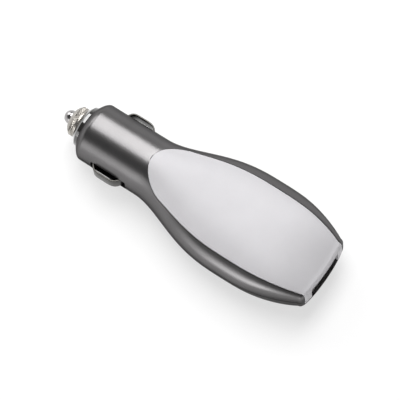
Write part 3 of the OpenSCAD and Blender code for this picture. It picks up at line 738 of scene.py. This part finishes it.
pin_turns = [math.radians(90 * k / 14) for k in range(1, 15)]
pin_profile = [(PIN_X, PIN_AXIS_R)]
pin_profile += [(PIN_X + PIN_R * (1 - math.cos(t)), PIN_R * math.sin(t)) for t in pin_turns]
pin_profile += [
    (-8.0, PIN_R), (PIN_SHOULDER_X, PIN_R), (PIN_SHOULDER_X, PIN_SHOULDER_R),
    (PIN_REAR_X, PIN_SHOULDER_R), (PIN_REAR_X, PIN_AXIS_R),
]
pin = lathe("sprung_pin", pin_profile, 96)
tied(smoothed(pin, 40), "pin", "pin_chrome", ["contact_pin"])

# %% [markdown]
# A ground clip is a spring strip. It is bent once in a press, so one line in the plane of the bend
# describes it. The strip's section, a flat bar with softened corners, follows that line. The line
# starts at the strip's root inside the barrel, comes out of the slot, runs along the crown and
# goes back in.

# %% Ground clips
CLIP_T = 0.5
CLIP_W = 4.8
CLIP_REACH = 11.95
ROOT_Y = math.sqrt(BORE_R**2 - (CLIP_W / 2) ** 2) - SEAT - CLIP_T / 2
CROWN_Y = CLIP_REACH - CLIP_T / 2
CLIP_ROUTE = [
    (SLOT_REAR_X + 2.8, ROOT_Y),
    (SLOT_REAR_X, ROOT_Y),
    (SLOT_REAR_X - 1.5, ROOT_Y + 0.8),
    (SLOT_REAR_X - 2.9, CROWN_Y - 1.1),
    (SLOT_REAR_X - 4.8, CROWN_Y - 0.1),
    (SLOT_X + 5.2, CROWN_Y),
    (SLOT_X + 2.6, CROWN_Y - 0.2),
    (SLOT_X + 1.2, CROWN_Y - 1.5),
    (SLOT_X + 0.6, ROOT_Y + 0.7),
    (SLOT_X + 0.1, ROOT_Y - 0.3),
    (SLOT_X - 1.1, ROOT_Y - 0.5),
]


def smooth_line(points, steps):
    """A curve through points, with the slope at each taken from its neighbours."""
    out = []
    last = len(points) - 1
    v = [Vector(p) for p in points]
    for i in range(last):
        a, b, c, d = v[max(0, i - 1)], v[i], v[i + 1], v[min(last, i + 2)]
        slope, bend, twist = (c - a) / 2, a - 2.5 * b + 2 * c - d / 2, 1.5 * (b - c) + (d - a) / 2
        for k in range(steps):
            t = k / steps
            out.append(b + t * slope + t * t * bend + t**3 * twist)
    return out + [v[last]]


def ground_clip(name, side, body, replaced):
    line = smooth_line(CLIP_ROUTE, 10)
    section = bar_section(CLIP_W / 2, CLIP_T / 2, 0.15, 0.12, 3)
    rings = []
    for i, p in enumerate(line):
        way = (line[min(len(line) - 1, i + 1)] - line[max(0, i - 1)]).normalized()
        out = Vector((-way[1], way[0]))
        rings.append([(p[0] + d * out[0], side * (p[1] + d * out[1]), z) for z, d in section])
    return tied(smoothed(loft(name, rings), 50), body, "clip_nickel", replaced)


ground_clip("left_clip_strip", 1, "left_clip", ["left_ground_clip"])
ground_clip("right_clip_strip", -1, "right_clip", ["right_ground_clip"])

# %% [markdown]
# The coil behind the fuse closes up when the pin is pressed. It is a round wire swept along a
# helix.

# %% Fuse spring
SPRING_X = 13.7
SPRING_L = 6.7
SPRING_D = 3.8
WIRE_R = 0.28
TURNS = 6
TURN_STEPS = 28


def coil_ring(k):
    """A circle of wire at step k of the helix."""
    steps = TURNS * TURN_STEPS
    turn = 2 * math.pi * k / TURN_STEPS
    along, out = Vector((1, 0, 0)), Vector((0, math.cos(turn), math.sin(turn)))
    middle = (SPRING_X + WIRE_R + (SPRING_L - 2 * WIRE_R) * k / steps) * along + SPRING_D / 2 * out
    angles = [math.pi * i / 6 for i in range(12)]
    return [middle + WIRE_R * (math.cos(t) * out + math.sin(t) * along) for t in angles]


coil = loft("coil", [coil_ring(k) for k in range(TURNS * TURN_STEPS + 1)])
tied(smoothed(coil), "housing", "spring_steel", ["fuse_spring"])
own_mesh(coil)

# %% [markdown]
# Shader maths reads best as plain arithmetic. This class wraps one socket, so that an expression
# such as 1 - mask adds the Math nodes by itself. Colours never go through it, because a Math node
# would turn them grey.

# %% Arithmetic on sockets
class Field:
    def __init__(self, paint, socket):
        self.paint, self.socket = paint, socket

    def _maths(self, operation, *values, clamp=False):
        settings = {"operation": operation, "use_clamp": clamp}
        return self.paint.add("ShaderNodeMath", settings, dict(enumerate(values)))

    def __add__(self, other):
        return self._maths("ADD", self, other)

    __radd__ = __add__

    def __sub__(self, other):
        return self._maths("SUBTRACT", self, other)

    def __rsub__(self, other):
        return self._maths("SUBTRACT", other, self)

    def __mul__(self, other):
        return self._maths("MULTIPLY", self, other)

    __rmul__ = __mul__

    def between(self, low, high):
        """0 below low, 1 above high, and a straight rise from one to the other."""
        return self._maths("DIVIDE", self - low, high - low, clamp=True)


# %% [markdown]
# A material, or the world, is a tree of nodes. One method adds any node, and the ones below it are
# for what this scene needs often. Lengths are in millimetres of the real plug, which keeps a flake
# or a scratch at its true size on every piece.

# %% Paint
class Paint:
    """One material. add() is the one way in for nodes: type, settings first, then sockets."""

    def __init__(self, name):
        self.start(bpy.data.materials.new(name), "ShaderNodeOutputMaterial")

    def start(self, owner, output):
        self.owner = owner
        owner.use_nodes = True
        self.tree = owner.node_tree
        self.tree.nodes.clear()
        self.output = self.tree.nodes.new(output)

    def add(self, kind, settings=None, values=None, out=0):
        node = self.tree.nodes.new(kind)
        for key, value in (settings or {}).items():
            if key == "stops":
                ramp = node.color_ramp
                while len(ramp.elements) < len(value):
                    ramp.elements.new(0.5)
                for stop, (place, colour) in zip(ramp.elements, value):
                    stop.position, stop.color = place, colour
            else:
                setattr(node, key, value)
        for key, value in (values or {}).items():
            self.join(node.inputs[key], value)
        return Field(self, node.outputs[out])

    def join(self, target, value):
        if isinstance(value, Field):
            self.tree.links.new(value.socket, target)
            return
        default = target.default_value
        needs_alpha = hasattr(default, "__len__") and len(default) == 4 and len(value) == 3
        target.default_value = (*value, 1.0) if needs_alpha else value

    def place(self, stretch=(1, 1, 1)):
        """Object coordinates in millimetres, so that every scale below is in real lengths."""
        spot = self.add("ShaderNodeTexCoord", out="Object")
        scale = tuple(1000 * s for s in stretch)
        return self.add("ShaderNodeMapping", {"vector_type": "POINT"}, {"Vector": spot, "Scale": scale})

    def noise(self, size, detail=3.0, stretch=(1, 1, 1)):
        values = {"Vector": self.place(stretch), "Scale": 1 / size, "Detail": detail}
        return self.add("ShaderNodeTexNoise", None, values)

    def colours(self, mask, low, high):
        stops = [(0.0, (*low, 1)), (1.0, (*high, 1))]
        return self.add("ShaderNodeValToRGB", {"stops": stops}, {"Fac": mask})

    def bump(self, height, distance_mm, strength=1.0):
        values = {"Height": height, "Strength": strength, "Distance": distance_mm * MM}
        return self.add("ShaderNodeBump", None, values)

    def finish(self, **sockets):
        values = {key.replace("_", " "): value for key, value in sockets.items()}
        return self.close(self.add("ShaderNodeBsdfPrincipled", None, values))

    def close(self, shader):
        self.tree.links.new(shader.socket, self.output.inputs["Surface"])
        return self.owner


class Sky(Paint):
    """The same for the world."""

    def __init__(self, name):
        self.start(bpy.data.worlds.new(name), "ShaderNodeOutputWorld")


# %% [markdown]
# The body is sprayed with a metallic lacquer: tiny flakes, and a thin clear coat over them. The
# flakes are a fine noise in colour and roughness, and a slow, shallow bump gives the slight
# waviness that sprayed plastic shows in its reflections. The cover plate is painted in a flatter
# silver: hardly metallic, rougher and without the clear coat.

# %% Sprayed lacquers
def lacquer(name, dark, light, rough, coat, metallic, gloss, edge, wave=0.004):
    """gloss is the strength of the reflection, and edge its tint at a grazing angle."""
    paint = Paint(name)
    flakes = paint.noise(0.12, 2.0)
    clouds = paint.noise(7.0, 3.0)
    colour = paint.colours((0.65 * flakes + 0.35 * clouds).between(0.3, 0.7), dark, light)
    roughness = (rough - 0.03) + 0.05 * flakes + 0.02 * clouds
    peel = paint.bump(paint.noise(1.6, 2.0), wave)
    return paint.finish(
        Base_Color=colour, Roughness=roughness, Normal=peel, Metallic=metallic, Specular_IOR_Level=gloss,
        Specular_Tint=(edge, edge, edge, 1.0), Coat_Weight=coat, Coat_Roughness=0.12, IOR=1.5,
    )


body_lacquer = lacquer(
    "gunmetal_lacquer", dark=(0.12, 0.117, 0.118), light=(0.162, 0.158, 0.159),
    rough=0.3, coat=0.1, metallic=0.94, gloss=0.5, edge=0.25,
)
plate_lacquer = lacquer(
    "silver_lacquer", dark=(0.465, 0.457, 0.473), light=(0.515, 0.507, 0.523),
    rough=0.5, coat=0.0, metallic=0.1, gloss=0.3, edge=1.0,
)
print("lacquers:", body_lacquer.name, "and", plate_lacquer.name)

# %% [markdown]
# Plated metal is nearly a mirror, and what makes it look real is fine wear: short scratches along
# one direction, small changes in roughness, and a tint that is warm for nickel and hardly there
# for chrome.
# Plastic, rubber and ceramic differ in colour, gloss and the grain that the mould left on them.

# %% Metals and mouldings
def plated(name, colour, rough, grain=(1, 8, 8), scratch=0.0012):
    """Scratches are longest along the axis where grain is smallest."""
    paint = Paint(name)
    lines = paint.noise(0.5, 3.0, grain)
    smudge = paint.noise(2.5, 2.0)
    tint = paint.colours(smudge.between(0.35, 0.65), tuple(0.9 * c for c in colour), colour)
    return paint.finish(
        Base_Color=tint, Metallic=1.0, Roughness=rough + 0.1 * smudge.between(0.45, 0.8),
        Normal=paint.bump(lines, scratch),
    )


def moulded(name, colour, rough, grain_mm=0.35, depth=0.006, coat=0.0):
    """A fine mould grain and slight unevenness in colour, under a glossy skin where coat is 1."""
    paint = Paint(name)
    grain = paint.noise(grain_mm, 4.0)
    clouds = paint.noise(3.0, 3.0)
    tint = paint.colours(clouds.between(0.3, 0.7), tuple(0.75 * c for c in colour), colour)
    return paint.finish(
        Base_Color=tint, Roughness=rough - 0.04 + 0.08 * grain, Normal=paint.bump(grain, depth),
        Coat_Weight=coat, Coat_Roughness=0.08, Coat_IOR=1.8,
    )


# %% [markdown]
# Two pieces inside need a finish of their own: the coil former's winding is bands of enamelled
# wire, which a sine of the height gives as a bump and as painted shade in the grooves between
# turns, and the fuse's tube is glass with a thin film on it.

# %% Winding and glass
def wound(name, colour, pitch_mm):
    """Enamelled wire on a bobbin: rounded bands across the piece's height, with painted shade in the grooves
    between turns.
    """
    paint = Paint(name)
    spot = paint.add("ShaderNodeTexCoord", out="Object")
    height = paint.add("ShaderNodeSeparateXYZ", None, {"Vector": spot}, out="Z")
    turns = height * (2 * math.pi / (pitch_mm * MM))
    wave = paint.add("ShaderNodeMath", {"operation": "SINE"}, {0: turns})
    # painted shade: the colour darkens where the wave is low, in the grooves between turns
    tint = paint.colours(wave.between(-1, 1), tuple(0.45 * c for c in colour), colour)
    return paint.finish(
        Base_Color=tint, Metallic=0.9, Roughness=0.3 + 0.1 * paint.noise(0.6), Normal=paint.bump(wave, 0.05),
    )


def tube_glass(name):
    paint = Paint(name)
    film = paint.noise(1.2, 3.0)
    tint = paint.colours(film, (0.86, 0.92, 0.92), (0.95, 0.98, 0.98))
    return paint.finish(Base_Color=tint, Roughness=0.03 + 0.05 * film, Transmission_Weight=1.0, IOR=1.5)


# %% [markdown]
# Each slot of the record is one finish on the real plug. Sheet metal has its grain across the plug,
# so the scratches on it are turned. The clips' tint is nearly black, a painted dark reflection: on
# the real plug they mirror something dark, which this scene's room does not hold.

# %% Finishes
SHEET_GRAIN = (8, 1, 1)
finishes = {
    "housing": body_lacquer,
    "cover_plate": plate_lacquer,
    "collar": moulded("collar_black", (0.012, 0.011, 0.01), 0.14, grain_mm=0.8, depth=0.002, coat=1.0),
    "cap_nickel": plated("cap_nickel", (0.42, 0.4, 0.37), 0.34),
    "bush_nylon": moulded("bush_nylon", (0.74, 0.72, 0.64), 0.5),
    "pin_chrome": plated("pin_chrome", (0.4, 0.39, 0.39), 0.14),
    "fuse_tube": tube_glass("fuse_tube_glass"),
    "fuse_caps": plated("fuse_tin", (0.68, 0.67, 0.63), 0.24),
    "spring_steel": plated("spring_wire", (0.56, 0.56, 0.58), 0.25),
    "contact_brass": plated("contact_brass", (0.78, 0.58, 0.28), 0.25),
    # painted reflection: the clips' near-black tint stands in for the dark that the real nickel mirrors
    "clip_nickel": plated("clip_nickel", (0.06, 0.058, 0.054), 0.28, SHEET_GRAIN),
    "board": moulded("board_mask", (0.02, 0.16, 0.07), 0.3, grain_mm=0.8, depth=0.004),
    "usb_steel": plated("usb_tin", (0.62, 0.61, 0.6), 0.26, SHEET_GRAIN),
    # painted light: the port plastic's grey is raised so that the shaded port mouth looks lit
    "usb_plastic": moulded("usb_grey_painted_light", (0.16, 0.146, 0.135), 0.42),
    "ferrite": moulded("ferrite", (0.045, 0.045, 0.05), 0.7),
    "copper": wound("copper_winding", (0.7, 0.3, 0.12), 0.4),
    "capacitor_sleeve": moulded("capacitor_sleeve", (0.02, 0.03, 0.09), 0.3),
    "chip_plastic": moulded("chip_package", (0.02, 0.02, 0.02), 0.5),
    "chip_ceramic": moulded("chip_ceramic", (0.05, 0.045, 0.04), 0.55),
    "positive_insulation": moulded("positive_insulation", (0.45, 0.02, 0.015), 0.4),
    "ground_insulation": moulded("ground_insulation", (0.015, 0.015, 0.015), 0.4),
    "screw_steel": plated("screw_zinc", (0.55, 0.55, 0.56), 0.28),
}
print("finishes:", len(finishes))

# %% [markdown]
# Pieces that stay as the frame made them take their finish from the record's slots, and a narrow
# bevel where they show, since sheet and moulded edges are never quite sharp.

# %% Finish every piece
PORT_BEVEL = 0.06
slot_of = {part["node"]: part["material_slot"] for part in frame["record"]["subparts"]}
replaced_nodes = set()
for obj in list(bpy.data.objects):
    replaced_nodes |= set(obj.get("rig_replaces", []))
    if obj.get("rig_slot"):
        obj.data.materials.clear()
        obj.data.materials.append(finishes[obj["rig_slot"]])
for name, obj in nodes.items():
    if not len(obj.data.materials):
        obj.data.materials.append(None)
    for i in range(len(obj.data.materials)):
        obj.data.materials[i] = finishes[slot_of[name]]
print("kept from the frame:", len(nodes) - len(replaced_nodes), "nodes")

for name in ("usb_shell", "usb_tongue"):
    weld = nodes[name].modifiers.new("weld", "WELD")
    weld.merge_threshold = 1e-6
    bevel = nodes[name].modifiers.new("bevel", "BEVEL")
    bevel.width, bevel.segments, bevel.limit_method = PORT_BEVEL * MM, 2, "ANGLE"
    bevel.angle_limit = math.radians(40)

# %% [markdown]
# The plug lies on a plain pale floor, on the bottom of its barrel and handle. More lamp power
# could make the floor white, but it would burn out the plate as well. So the floor's material
# mixes in plain white, for the camera, for reflections and through glass alone, and less of it
# near the plug, where the soft shadow falls. The floor's half side and the reach of the white are
# in metres, and the gap under the plug is in millimetres.

# %% Floor
FLOOR_HALF = 3
FLOOR_GAP = 0.02
WHITE_NEAR = 0.6
NEAR, FAR = 0.16, 0.5

corners = [(-FLOOR_HALF, -FLOOR_HALF, 0), (FLOOR_HALF, -FLOOR_HALF, 0)]
corners += [(FLOOR_HALF, FLOOR_HALF, 0), (-FLOOR_HALF, FLOOR_HALF, 0)]
floor = new_mesh("floor", corners, [(0, 1, 2, 3)])
floor.location = (0, 0, cad_box[0][2] - FLOOR_GAP * MM)

paper = Paint("paper_floor")
shade = paper.colours(paper.noise(6.0, 3.0), (0.9, 0.9, 0.9), (0.93, 0.93, 0.93))
matte = paper.add("ShaderNodeBsdfDiffuse", None, {"Color": shade})
white = paper.add("ShaderNodeEmission", None, {"Color": (1, 1, 1), "Strength": 1.0})
camera_ray, glossy_ray, clear_ray = [
    paper.add("ShaderNodeLightPath", out=f"Is {kind} Ray") for kind in ("Camera", "Glossy", "Transmission")
]
spot = paper.add("ShaderNodeTexCoord", out="Object")
away = paper.add("ShaderNodeVectorMath", {"operation": "LENGTH"}, {0: spot}, out="Value")
white_share = WHITE_NEAR + (1 - WHITE_NEAR) * away.between(NEAR, FAR)
white_seen = white_share * (camera_ray + glossy_ray + clear_ray)
surface = paper.add("ShaderNodeMixShader", None, {0: white_seen, 1: matte, 2: white})
floor.data.materials.append(paper.close(surface))
print("floor at", round(floor.location.z / MM, 2), "mm")

# %% [markdown]
# The world is a room with white walls and a dim ceiling. Its dark upper half is what gives the
# lacquer its dark band: a metallic paint has little colour of its own and shows what is around it.
# The Z of a direction is 0 at the horizon and 1 overhead.

# %% World
CEILING = (0.11, 0.11, 0.11)
WALLS = (1, 1, 1)
WALLS_TOP, CEILING_FROM = 0.15, 0.5

sky = Sky("studio")
direction = sky.add("ShaderNodeTexCoord", out="Generated")
height = sky.add("ShaderNodeSeparateXYZ", None, {"Vector": direction}, out="Z")
room = sky.colours(height.between(WALLS_TOP, CEILING_FROM), WALLS, CEILING)
light = sky.add("ShaderNodeBackground", None, {"Color": room, "Strength": 1.0})
bpy.context.scene.world = sky.close(light)
print("world:", bpy.context.scene.world.name)

# %% [markdown]
# The picture was taken from above, a little towards the port's end, with a long lens: lines that
# are parallel on the plug stay parallel. Three unit vectors, found from the photograph, give the
# camera's axes. Its distance is in metres, and the sensor's width in millimetres.

# %% Camera
RIGHT = Vector((0.824, 0.564, -0.049)).normalized()
BACK = Vector((0.235, -0.262, 0.936))
BACK = (BACK - BACK.dot(RIGHT) * RIGHT).normalized()
UP = BACK.cross(RIGHT)
CENTRE = Vector((41.5, -0.7, 0.0)) * MM
FIELD = 128.4 * MM
DISTANCE = 1.1
SENSOR = 36

camera_data = bpy.data.cameras.new("camera")
camera_data.sensor_width = SENSOR
camera_data.lens = SENSOR * DISTANCE / FIELD
camera_data.clip_start, camera_data.clip_end = 0.05, 20
camera = bpy.data.objects.new("camera", camera_data)
bpy.context.scene.collection.objects.link(camera)
turn = Matrix((RIGHT, UP, BACK)).transposed().to_4x4()
camera.matrix_world = Matrix.Translation(CENTRE + BACK * DISTANCE) @ turn
bpy.context.scene.camera = camera
bpy.context.scene.view_settings.view_transform = "Standard"
print("camera:", round(camera_data.lens), "mm lens,", round(FIELD / MM, 1), "mm across the picture")

# %% [markdown]
# Soft boxes are area lamps. A smooth lacquer shows them, so their places decide where the bright
# bands lie. A band's place on the round barrel gives the direction that its lamp stands in, by
# the law of reflection: the key makes the wide band on the far side, the fill and the side lamp
# the ones on the near side, and the nose lamp lights the shoulder behind the collar. The camera
# doesn't see the lamps themselves.

# %% Lamps
def soft_box(name, target, towards, distance, along, across, radiance):
    """A lamp that faces the target, a point in millimetres. distance says how far off it stands,
    along is its side beside the plug and across its other side, all three in metres."""
    data = bpy.data.lights.new(name, "AREA")
    data.shape = "RECTANGLE"
    data.size, data.size_y = along, across
    data.energy = radiance * math.pi * along * across
    lamp = bpy.data.objects.new(name, data)
    bpy.context.scene.collection.objects.link(lamp)
    back = Vector(towards).normalized()
    side = (Vector((1, 0, 0)) - back.x * back).normalized()
    axes = Matrix((side, back.cross(side), back)).transposed().to_4x4()
    lamp.matrix_world = Matrix.Translation(Vector(target) * MM + back * distance) @ axes
    lamp.visible_camera = False
    print("lamp:", name, round(data.energy, 2), "W")


soft_box(
    "key", target=(-30, 0, 0), towards=(-0.1, 0.403, 0.91), distance=0.69,
    along=0.34, across=0.776, radiance=6.8,
)
soft_box(
    "fill", target=(70, -10, 0), towards=(-0.03, -0.975, 0.22), distance=0.4,
    along=0.44, across=0.24, radiance=1.25,
)
soft_box(
    "side", target=(62, -17, 2), towards=(-0.03, -0.975, 0.2), distance=0.34,
    along=0.15, across=0.12, radiance=3.2,
)
soft_box(
    "nose", target=(0, 0, 0), towards=(-0.78, 0.27, 0.57), distance=0.5,
    along=0.4, across=0.3, radiance=3.2,
)
